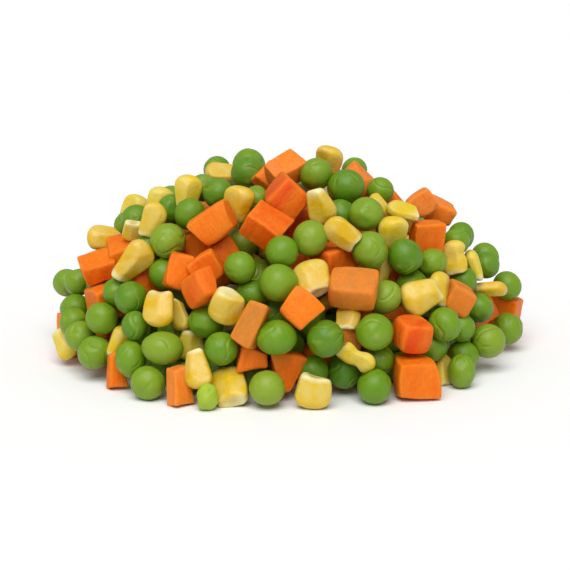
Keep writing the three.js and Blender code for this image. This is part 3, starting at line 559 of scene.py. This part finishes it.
def dieSurface(grid, size, form, outward, chance):
    # A box with rounded edges that tapers and wedges, its corners pulled about, its faces hollowed or
    # swollen and a little wavy. Pale is 1 inside the carrot's core, a round rod through or past the die,
    # and mark 1 on its edges, where the carrot's colour gets a painted highlight.
    count = len(size)
    crowded = np.sin(grid * np.pi / 2)
    half = (size / 2)[:, None]
    edge = chance.uniform(*dice["edge"], (count, 1, 1))
    box = crowded * half
    inner = np.clip(box, edge - half, half - edge)
    points = inner + edge * unit(box - inner)
    share = points / half
    least = size.min(1)[:, None, None]
    for corner in np.array(np.meshgrid([-1, 1], [-1, 1], [-1, 1])).reshape(3, -1).T:
        weight = ((1 + corner * share) / 2).prod(2, keepdims=True)
        points = points + weight * least * chance.uniform(-dice["pull"], dice["pull"], (count, 1, 3))
        points -= weight**2 * least * np.clip(chance.uniform(*dice["wear"], (count, 1, 1)), 0, 1) * corner
    points[..., 0] *= 1 - form[:, :1] * share[..., 2]
    points[..., 2] *= 1 - form[:, 1:] * share[..., 0]
    swell = least * chance.normal(*dice["swell"], (count, 1, 3))
    for axis in range(3):
        others = share[..., (axis + 1) % 3]**2 + share[..., (axis + 2) % 3]**2
        points[..., axis] -= swell[..., axis] * share[..., axis] * (others - dice["swellFrom"])
    points += dice["sway"] * waviness(crowded, count, dice["swayPace"], chance)[..., None] * unit(points)
    points += dice["ripple"] * waviness(crowded, count, dice["ripplePace"], chance)[..., None] * unit(points)
    along = unit(chance.normal(size=(count, 1, 3)))
    aside = chance.uniform(*dice["coreAway"], (count, 1, 1))
    middle = points - aside * unit(chance.normal(size=(count, 1, 3)))
    away = np.linalg.norm(middle - (middle * along).sum(2, keepdims=True) * along, axis=2)
    pale = np.clip((chance.uniform(*dice["coreRadius"], (count, 1)) - away) / dice["coreEdge"], 0, 1)
    # Mark is 1 near the edges, where the carrot's colour gets a painted highlight.
    toEdge = np.sort(half - np.abs(box), axis=2)[..., 1]
    return points, pale, np.clip(dice["markFrom"] - toEdge / dice["markWidth"], 0, 1)


def kernelBody(direction, count, chance):
    # The radius of a rounded block, square at the cut and round at the crown, pressed flat by planes: two
    # make each side's ridge, two the edges and one the cut.
    rise = np.clip(direction[:, 2] / 2 + 0.5, 0, 1) ** kernels["widening"]
    power = between(kernels["squareFoot"], chance.uniform(*kernels["roundCrown"], (count, 1)), rise)
    radius = (np.abs(direction[:, 0])**power + np.abs(direction[:, 1])**power
              + np.abs(direction[:, 2])**power) ** (-1 / power)
    sharpness = chance.uniform(*kernels["sharpness"], (count, 1))
    one = np.ones(count)
    sideLean, ridgeAside, cutLean = (kernels[key] for key in ("sideLean", "ridgeAside", "cutLean"))
    for side in (-1, 1):
        lean = chance.uniform(-sideLean, sideLean, count)
        normal = np.stack([side * one, lean, 0 * one], 1)
        radius = pressed(radius, direction, normal, kernels["sideAt"] * one, sharpness)
        middle = chance.uniform(-ridgeAside, ridgeAside, count)
        for slope in (-1, 1):
            ridge = chance.uniform(*kernels["ridge"], count)
            normal = np.stack([slope * ridge, side * one, 0 * one], 1)
            radius = pressed(radius, direction, normal, 1 + slope * ridge * middle, sharpness)
    cut = np.concatenate([chance.uniform(-cutLean, cutLean, (count, 2)), -one[:, None]], 1)
    return kernels["plump"] * pressed(radius, direction, cut, kernels["cutAt"] * one, sharpness)


def kernelSurface(grid, size, form, outward, chance):
    # A pressed block that narrows towards the cut, where it is hollowed, with a waist and a bend. The
    # hollow is round, or a notch from front to back between two raised rims, and deeper in a wide cut.
    # Pale is 1 at the cut, and mark 1 deep in its hollow.
    count = len(size)
    direction = onBall(grid)
    narrow, pinch = form[:, :1], form[:, 1:]
    radius = kernelBody(direction, count, chance)
    x, y, z = np.moveaxis(radius[..., None] * direction, 2, 0)
    wide = kernels["hollowSlope"] * (narrow - kernels["hollowFrom"])
    depth = chance.uniform(*kernels["hollow"], (count, 1)) * np.clip(wide, kernels["hollowLeast"], 1)
    notch = chance.uniform(0, 1, (count, 1))
    inside = dome(x, kernels["hollowWidth"]) * between(dome(y, kernels["hollowDepth"]), 1, notch)
    below = np.clip((kernels["hollowTop"] - z) / kernels["hollowDepth"], 0, 1)
    height = np.clip((z + 1) / 2, 0, 1)
    eased = height * height * (3 - 2 * height)
    waist = 1 - pinch * dome(z - kernels["pinchAt"] - kernels["pinchLean"] * x, kernels["pinchWidth"])
    thin = chance.uniform(*kernels["thin"], (count, 1))
    bent = chance.uniform(-kernels["bend"], kernels["bend"], (count, 1))
    points = np.stack([x * waist * between(narrow, 1, eased) + bent * (1 - z * z),
                       y * waist * between(thin, 1, eased), z + depth * inside * below], -1)
    points *= 1 + kernels["sway"] * waviness(direction, count, kernels["swayPace"], chance)[..., None]
    pale = np.clip((chance.uniform(*kernels["huskFrom"], (count, 1)) - z) / kernels["huskEdge"], 0, 1)
    mark = pale * np.clip(kernels["markSlope"] * depth * inside * below - kernels["markFrom"], 0, 1)
    return points * (size / 2)[:, None], pale, mark


def joinedMesh(name, parts):
    # One mesh from several stacks of pieces. Each stack is (points, quads, grain, tone, pale, mark).
    stacks, total = [], 0
    for points, faces, grain, tone, pale, mark in parts:
        count, each = points.shape[:2]
        faces = faces[None] + (total + np.arange(count) * each)[:, None, None]
        stacks.append((points.reshape(-1, 3), faces.reshape(-1, 4), grain.reshape(-1, 3),
                       np.repeat(tone, each), pale.reshape(-1), mark.reshape(-1)))
        total += count * each
    vertices, quads, grain, tone, pale, mark = (np.concatenate(each) for each in zip(*stacks))
    vertices = vertices * millimetre
    mesh = bpy.data.meshes.new(name)
    mesh.vertices.add(len(vertices))
    mesh.vertices.foreach_set("co", vertices.astype(np.float32).ravel())
    mesh.loops.add(quads.size)
    mesh.loops.foreach_set("vertex_index", quads.astype(np.int32).ravel())
    mesh.polygons.add(len(quads))
    mesh.polygons.foreach_set("loop_start", np.arange(0, quads.size, 4, dtype=np.int32))
    mesh.polygons.foreach_set("use_smooth", np.ones(len(quads), bool))
    mesh.update(calc_edges=True)
    layer = mesh.attributes.new("grain", "FLOAT_VECTOR", "POINT")
    layer.data.foreach_set("vector", grain.astype(np.float32).ravel())
    for key, values in (("tone", tone), ("pale", pale), ("mark", mark)):
        layer = mesh.attributes.new(key, "FLOAT", "POINT")
        layer.data.foreach_set("value", values.astype(np.float32))
    print(name, "has", 2 * len(quads), "triangles")
    return mesh


def addPiece(name, parts, material):
    # One object of the joined parts, in place of the heap's solid.
    piece = bpy.data.objects.new(name, joinedMesh(name, parts))
    bpy.context.scene.collection.objects.link(piece)
    piece.data.materials.append(material)
    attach(piece, "root")
    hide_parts(heap["node"])


def makeKind(name, pieces, chosen, surface, values, material, seed):
    # One object of all the chosen pieces, the ones that show finely and the ones inside coarsely.
    chance = np.random.default_rng(seed)
    shows = outwardness(pieces["centre"]) > heap["finely"]
    parts = []
    for mask, cuts in ((chosen & shows, values["fineCuts"]), (chosen & ~shows, values["coarseCuts"])):
        grid, quads = cubeGrid(cuts)
        size, turn, centre = (pieces[key][mask] for key in ("size", "turn", "centre"))
        toOutside = unit(centre) - heap["toViewer"] * facing[:, 1]
        outward = unit(np.einsum("nij,ni->nj", turn, toOutside))
        local, pale, mark = surface(grid, size, pieces["form"][mask], outward, chance)
        points = np.einsum("nij,nvj->nvi", turn, local) + centre[:, None]
        points[..., 2] = np.maximum(points[..., 2], 0)
        shift = chance.uniform(0, heap["grainShift"], (len(size), 1, 3))
        parts.append((points, quads, local + shift, pieces["tone"][mask], pale, mark))
    addPiece(name, parts, material)


# The core: its mesh, and the height, reach and pace of its lumps, and how far it stays over the floor.
core = {"cuts": 40, "lump": 0.04, "lumpReach": 12, "lumpPace": (0.8, 1.4), "overFloor": 0.2}


def makeCore(material):
    # A lumpy dome, flat underneath, that closes the heap behind the loose pieces.
    grid, quads = cubeGrid(core["cuts"])
    direction = onBall(grid)
    chance = np.random.default_rng(heap["looksSeed"])
    lumps = waviness(direction * core["lumpReach"], 1, core["lumpPace"], chance)[0]
    points = direction * (heap["mound"] * heap["hollow"]) * (1 + core["lump"] * lumps[:, None])
    points[:, 2] = np.maximum(points[:, 2], core["overFloor"])
    plain = np.zeros((1, len(points)))
    addPiece("heap_core", [(points[None], quads, points[None], np.zeros(1), plain, plain)], material)


def feed(tree, socket, value):
    # A value is a number, a colour or a socket to link from.
    if isinstance(value, bpy.types.NodeSocket):
        tree.links.new(value, socket)
    else:
        socket.default_value = value


def feedAll(tree, node, **values):
    # The inputs by name, with _ for each space.
    for key, value in values.items():
        feed(tree, node.inputs[key.replace("_", " ")], value)


def addNode(tree, kind, settings=None, **values):
    node = tree.nodes.new(kind)
    for key, value in (settings or {}).items():
        setattr(node, key, value)
    feedAll(tree, node, **values)
    return node


def useGroup(tree, group, **values):
    return addNode(tree, "ShaderNodeGroup", {"node_tree": group}, **values).outputs[0]


def attribute(tree, name, output="Fac"):
    return addNode(tree, "ShaderNodeAttribute", {"attribute_name": name}).outputs[output]


def calculate(tree, operation, *values, clamp=False):
    # One step of arithmetic.
    node = addNode(tree, "ShaderNodeMath", {"operation": operation, "use_clamp": clamp})
    for socket, value in zip(node.inputs, values):
        feed(tree, socket, value)
    return node.outputs[0]


def eased(tree, value, start, end, first, last):
    # From first to last in an S curve, while the value goes from start to end.
    node = addNode(tree, "ShaderNodeMapRange", {"interpolation_type": "SMOOTHSTEP"}, Value=value,
                   From_Min=start, From_Max=end, To_Min=first, To_Max=last)
    return node.outputs[0]


def noise(tree, vector, scale, detail, roughness=0.5):
    node = addNode(tree, "ShaderNodeTexNoise", Vector=vector, Scale=scale, Detail=detail, Roughness=roughness)
    return node.outputs["Fac"]


def mapped(tree, vector, **values):
    return addNode(tree, "ShaderNodeMapping", Vector=vector, **values).outputs[0]


def mixColour(tree, share, first, second):
    # The first colour at share 0, and the second at share 1.
    node = addNode(tree, "ShaderNodeMix", {"data_type": "RGBA"})
    for number, value in ((0, share), (6, first), (7, second)):
        feed(tree, node.inputs[number], value)
    return node.outputs[2]


def tint(tree, mask, share, colour, other):
    # The colour, with that share of the other one where the mask is 1.
    return mixColour(tree, mask, colour, mixColour(tree, share, colour, other))


def bumped(tree, height, values, invert=False, **under):
    node = addNode(tree, "ShaderNodeBump", {"invert": invert}, Height=height, **values, **under)
    return node.outputs[0]


def newGroup(name, output, **values):
    # A node group that takes a Vector and the named numbers, and gives one number: the group, its inputs
    # as sockets to link from, and its output to link to.
    group = bpy.data.node_groups.new(name, "ShaderNodeTree")
    group.interface.new_socket("Vector", in_out="INPUT", socket_type="NodeSocketVector")
    for key, value in values.items():
        title = key.replace("_", " ")
        socket = group.interface.new_socket(title, in_out="INPUT", socket_type="NodeSocketFloat")
        socket.default_value = value
    group.interface.new_socket(output, in_out="OUTPUT", socket_type="NodeSocketFloat")
    inside, outside = group.nodes.new("NodeGroupInput"), group.nodes.new("NodeGroupOutput")
    return group, inside.outputs, outside.inputs[output]


def mottleGroup():
    # Soft blotches: a noise with finer ones on it, less 0.5, times Contrast, plus 0.5, kept from 0 to 1.
    group, given, result = newGroup("mottle", "Value", Scale=0.3, Contrast=2.0)
    blotches = noise(group, given["Vector"], given["Scale"], 3.0, 0.55)
    centred = calculate(group, "SUBTRACT", blotches, 0.5)
    pushed = calculate(group, "MULTIPLY_ADD", centred, given["Contrast"], 0.5, clamp=True)
    group.links.new(pushed, result)
    return group


def reliefGroup():
    # The height of an uneven skin, from 0 to 1: a broad noise with a share of a fine one.
    group, given, result = newGroup("skin relief", "Height", Broad_Scale=0.8, Fine_Scale=5.0, Fine_Share=0.3)
    broad = noise(group, given["Vector"], given["Broad Scale"], 2.0)
    fine = noise(group, given["Vector"], given["Fine Scale"], 3.0, 0.6)
    mixed = addNode(group, "ShaderNodeMix", Factor=given["Fine Share"])
    feed(group, mixed.inputs[2], broad)
    feed(group, mixed.inputs[3], fine)
    group.links.new(mixed.outputs[0], result)
    return group


creasing = {"elsewhere": (37.0, 11.0, 23.0), "none": 0.46, "full": 0.62}


def creaseGroup():
    # Curved lines where a broad noise passes its middle, 1 on the line and 0 at Width from it, kept only
    # where a second noise, taken elsewhere, is high.
    group, given, result = newGroup("skin creases", "Crease", Scale=0.2, Width=0.03)
    first = noise(group, given["Vector"], given["Scale"], 0.0)
    distance = calculate(group, "ABSOLUTE", calculate(group, "SUBTRACT", first, 0.5))
    line = eased(group, distance, 0.0, given["Width"], 1.0, 0.0)
    shifted = mapped(group, given["Vector"], Location=creasing["elsewhere"])
    second = noise(group, shifted, given["Scale"], 0.0)
    kept = eased(group, second, creasing["none"], creasing["full"], 0.0, 1.0)
    group.links.new(calculate(group, "MULTIPLY", line, kept), result)
    return group


def newMaterial(name, values):
    # A material with one shader, whose plain values are set on its own sockets.
    material = bpy.data.materials.new(name)
    material.use_nodes = True
    tree = material.node_tree
    tree.nodes.clear()
    output = tree.nodes.new("ShaderNodeOutputMaterial")
    shader = tree.nodes.new("ShaderNodeBsdfPrincipled")
    tree.links.new(shader.outputs[0], output.inputs["Surface"])
    for key, value in values.items():
        shader.inputs[key].default_value = value
    return material, tree, shader


def toneRamp(tree, skin):
    # The colour for a piece's tone, from the skin's ramp: the tones, from 0 to 1, and their colours.
    node = tree.nodes.new("ShaderNodeValToRGB")
    elements = node.color_ramp.elements
    stops = list(skin["ramp"].items())
    elements[0].color, elements[1].color = skin[stops[0][1]], skin[stops[-1][1]]
    for tone, colour in stops[1:-1]:
        elements.new(tone).color = skin[colour]
    tree.links.new(attribute(tree, "tone"), node.inputs[0])
    return node.outputs[0]


peaSkin = {
    "deep": (0.052, 0.18, 0.002, 1), "fresh": (0.127, 0.27, 0.003, 1), "pale": (0.23, 0.335, 0.02, 1),
    "hull": (0.36, 0.50, 0.03, 1), "scar": (0.26, 0.32, 0.05, 1), "lip": 0.5, "fold": 0.4,
    "ramp": {0: "deep", 0.45: "fresh", 0.9: "pale", 1: "hull"},
    "blotch": {"Scale": 0.25, "Contrast": 2.2}, "blotchShare": 0.35,
    "relief": {"Broad_Scale": 0.5, "Fine_Scale": 4.0, "Fine_Share": 0.12},
    "bump": {"Strength": 0.35, "Distance": 0.0006},
    "crease": {"Scale": 0.19, "Width": 0.07}, "creaseBump": {"Strength": 0.45, "Distance": 0.0005},
    "shader": {"Roughness": 0.42, "Specular IOR Level": 0.36, "Subsurface Weight": 0.25,
               "Subsurface Radius": (0.5, 1.0, 0.2), "Subsurface Scale": 0.002},
}


def peaMaterial(mottle, relief, creases, name):
    # Green by tone, in blotches, paler on lips, creases and scar.
    material, tree, shader = newMaterial(name, peaSkin["shader"])
    grain = attribute(tree, "grain", "Vector")
    blotch = useGroup(tree, mottle, Vector=grain, **peaSkin["blotch"])
    crease = useGroup(tree, creases, Vector=grain, **peaSkin["crease"])
    height = useGroup(tree, relief, Vector=grain, **peaSkin["relief"])
    colour = tint(tree, blotch, peaSkin["blotchShare"], toneRamp(tree, peaSkin), peaSkin["pale"])
    colour = tint(tree, attribute(tree, "mark"), peaSkin["lip"], colour, peaSkin["pale"])
    colour = mixColour(tree, attribute(tree, "pale"), colour, peaSkin["scar"])
    colour = tint(tree, crease, peaSkin["fold"], colour, peaSkin["pale"])
    bump = bumped(tree, height, peaSkin["bump"])
    bump = bumped(tree, crease, peaSkin["creaseBump"], invert=True, Normal=bump)
    feedAll(tree, shader, Base_Color=colour, Normal=bump)
    return material


carrotFlesh = {
    "deep": (0.65, 0.042, 0.001, 1), "mid": (0.77, 0.10, 0.001, 1), "bright": (0.80, 0.165, 0.003, 1),
    "salmon": (0.82, 0.25, 0.045, 1), "tan": (0.50, 0.21, 0.03, 1),
    "ramp": {0: "deep", 0.3: "mid", 0.6: "bright", 0.85: "salmon", 1: "tan"},
    # The paler orange goes on blotches, the flesh's own mottling, and along the edges, where it is a painted
    # highlight.
    "core": (0.84, 0.22, 0.004, 1), "coreShare": 0.5, "paleBlotchAndHighlight": (0.86, 0.25, 0.014, 1), "edgeHighlightShare": 0.35,
    "fibre": (1, 1, 0.25), "blotch": {"Scale": 0.35, "Contrast": 3.0}, "blotchShare": 0.55,
    "speck": {"Scale": 1.2, "Contrast": 4.0}, "speckShare": 0.2,
    "relief": {"Broad_Scale": 0.6, "Fine_Scale": 2.8, "Fine_Share": 0.4},
    "bump": {"Strength": 0.6, "Distance": 0.0009},
    "shader": {"Roughness": 0.48, "Specular IOR Level": 0.18, "Subsurface Weight": 0.3,
               "Subsurface Radius": (1.0, 0.3, 0.08), "Subsurface Scale": 0.0025},
}


def carrotMaterial(mottle, relief):
    # Orange by tone, lighter in the core and in long blotches, with a painted highlight along the edges
    # and darker specks.
    material, tree, shader = newMaterial("carrot flesh", carrotFlesh["shader"])
    grain = attribute(tree, "grain", "Vector")
    fibre = mapped(tree, grain, Scale=carrotFlesh["fibre"])
    blotch = useGroup(tree, mottle, Vector=fibre, **carrotFlesh["blotch"])
    speck = useGroup(tree, mottle, Vector=grain, **carrotFlesh["speck"])
    height = useGroup(tree, relief, Vector=fibre, **carrotFlesh["relief"])
    core, edgeHighlight = attribute(tree, "pale"), attribute(tree, "mark")
    colour = toneRamp(tree, carrotFlesh)
    # Along the edges the paler orange is a painted highlight.
    for mask, share, other in ((core, "coreShare", "core"), (blotch, "blotchShare", "paleBlotchAndHighlight"),
                               (speck, "speckShare", "deep"), (edgeHighlight, "edgeHighlightShare", "paleBlotchAndHighlight")):
        colour = tint(tree, mask, carrotFlesh[share], colour, carrotFlesh[other])
    feedAll(tree, shader, Base_Color=colour, Normal=bumped(tree, height, carrotFlesh["bump"]))
    return material


kernelSkin = {
    "deep": (0.66, 0.40, 0.0005, 1), "bright": (0.72, 0.56, 0.016, 1), "cream": (0.75, 0.68, 0.33, 1),
    "husk": (0.46, 0.29, 0.03, 1),
    "blotch": {"Scale": 0.3, "Contrast": 3.5}, "blotchShare": 0.3,
    "relief": {"Broad_Scale": 0.6, "Fine_Scale": 3.5, "Fine_Share": 0.2},
    "bump": {"Strength": 0.4, "Distance": 0.0008},
    "shader": {"Roughness": 0.3, "Specular IOR Level": 0.36, "Subsurface Weight": 0.3,
               "Subsurface Radius": (1.0, 0.7, 0.2), "Subsurface Scale": 0.002},
}


def kernelMaterial(mottle, relief):
    # Yellow by tone, with creamy blotches, cream at the cut and brown husk in its hollow.
    material, tree, shader = newMaterial("sweetcorn skin", kernelSkin["shader"])
    grain = attribute(tree, "grain", "Vector")
    blotch = useGroup(tree, mottle, Vector=grain, **kernelSkin["blotch"])
    height = useGroup(tree, relief, Vector=grain, **kernelSkin["relief"])
    colour = mixColour(tree, attribute(tree, "tone"), kernelSkin["deep"], kernelSkin["bright"])
    colour = tint(tree, blotch, kernelSkin["blotchShare"], colour, kernelSkin["cream"])
    colour = mixColour(tree, attribute(tree, "pale"), colour, kernelSkin["cream"])
    colour = mixColour(tree, attribute(tree, "mark"), colour, kernelSkin["husk"])
    feedAll(tree, shader, Base_Color=colour, Normal=bumped(tree, height, kernelSkin["bump"]))
    return material


studio = {
    "floorSize": 6.0, "floor": {"Base Color": (0.9, 0.9, 0.9, 1), "Roughness": 0.9},
    "sky": (1, 1, 1, 1), "skyStrength": 0.42,
    "sunStrength": 0.86, "sunSpread": 50, "sunTilt": (33, -4),
}


def makeStudio():
    # A white floor and sky, and one broad soft light from behind and above.
    scene = bpy.context.scene
    scene.view_settings.view_transform = "Standard"
    world = bpy.data.worlds.new("studio")
    world.use_nodes = True
    sky = world.node_tree.nodes["Background"]
    sky.inputs["Color"].default_value = studio["sky"]
    sky.inputs["Strength"].default_value = studio["skyStrength"]
    scene.world = world
    half = studio["floorSize"] / 2
    corners = [(-half, -half, 0), (half, -half, 0), (half, half, 0), (-half, half, 0)]
    mesh = bpy.data.meshes.new("floor")
    mesh.from_pydata(corners, [], [(0, 1, 2, 3)])
    floor = bpy.data.objects.new("floor", mesh)
    scene.collection.objects.link(floor)
    floor.data.materials.append(newMaterial("white floor", studio["floor"])[0])
    lamp = bpy.data.lights.new("softbox", "SUN")
    lamp.energy = studio["sunStrength"] * math.pi
    lamp.angle = math.radians(studio["sunSpread"])
    sun = bpy.data.objects.new("softbox", lamp)
    sun.rotation_euler = [math.radians(angle) for angle in (*studio["sunTilt"], 0)]
    scene.collection.objects.link(sun)


def makeCamera():
    # The lens, in millimetres, is the sensor's width times focal length over picture width, in pixels.
    data = bpy.data.cameras.new("camera")
    data.sensor_width = view["sensor"]
    data.lens = view["sensor"] * view["focal"] / (2 * view["centre"])
    data.clip_start, data.clip_end = view["nearest"], view["furthest"]
    camera = bpy.data.objects.new("camera", data)
    camera.location = eye * millimetre
    camera.rotation_euler = (math.radians(90 - view["elevation"]), 0, 0)
    bpy.context.scene.collection.objects.link(camera)
    bpy.context.scene.camera = camera


makeCamera()
makeStudio()
print("studio ready")
pieces = layOutHeap()
mottle, relief, creases = mottleGroup(), reliefGroup(), creaseGroup()
fresh, ripe = (peaMaterial(mottle, relief, creases, name) for name in ("fresh pea skin", "ripe pea skin"))
carrot, sweetcorn = carrotMaterial(mottle, relief), kernelMaterial(mottle, relief)
isPea, isDie, isKernel = (pieces["kind"] == kind for kind in ("pea", "die", "kernel"))
isRipe = pieces["tone"] > peas["ripe"]
makeKind("fresh_peas", pieces, isPea & ~isRipe, peaSurface, peas, fresh, seed=1)
makeKind("ripe_peas", pieces, isPea & isRipe, peaSurface, peas, ripe, seed=2)
makeKind("carrot_dice", pieces, isDie, dieSurface, dice, carrot, seed=3)
makeKind("sweetcorn", pieces, isKernel, kernelSurface, kernels, sweetcorn, seed=4)
makeCore(fresh)
print("pieces ready")
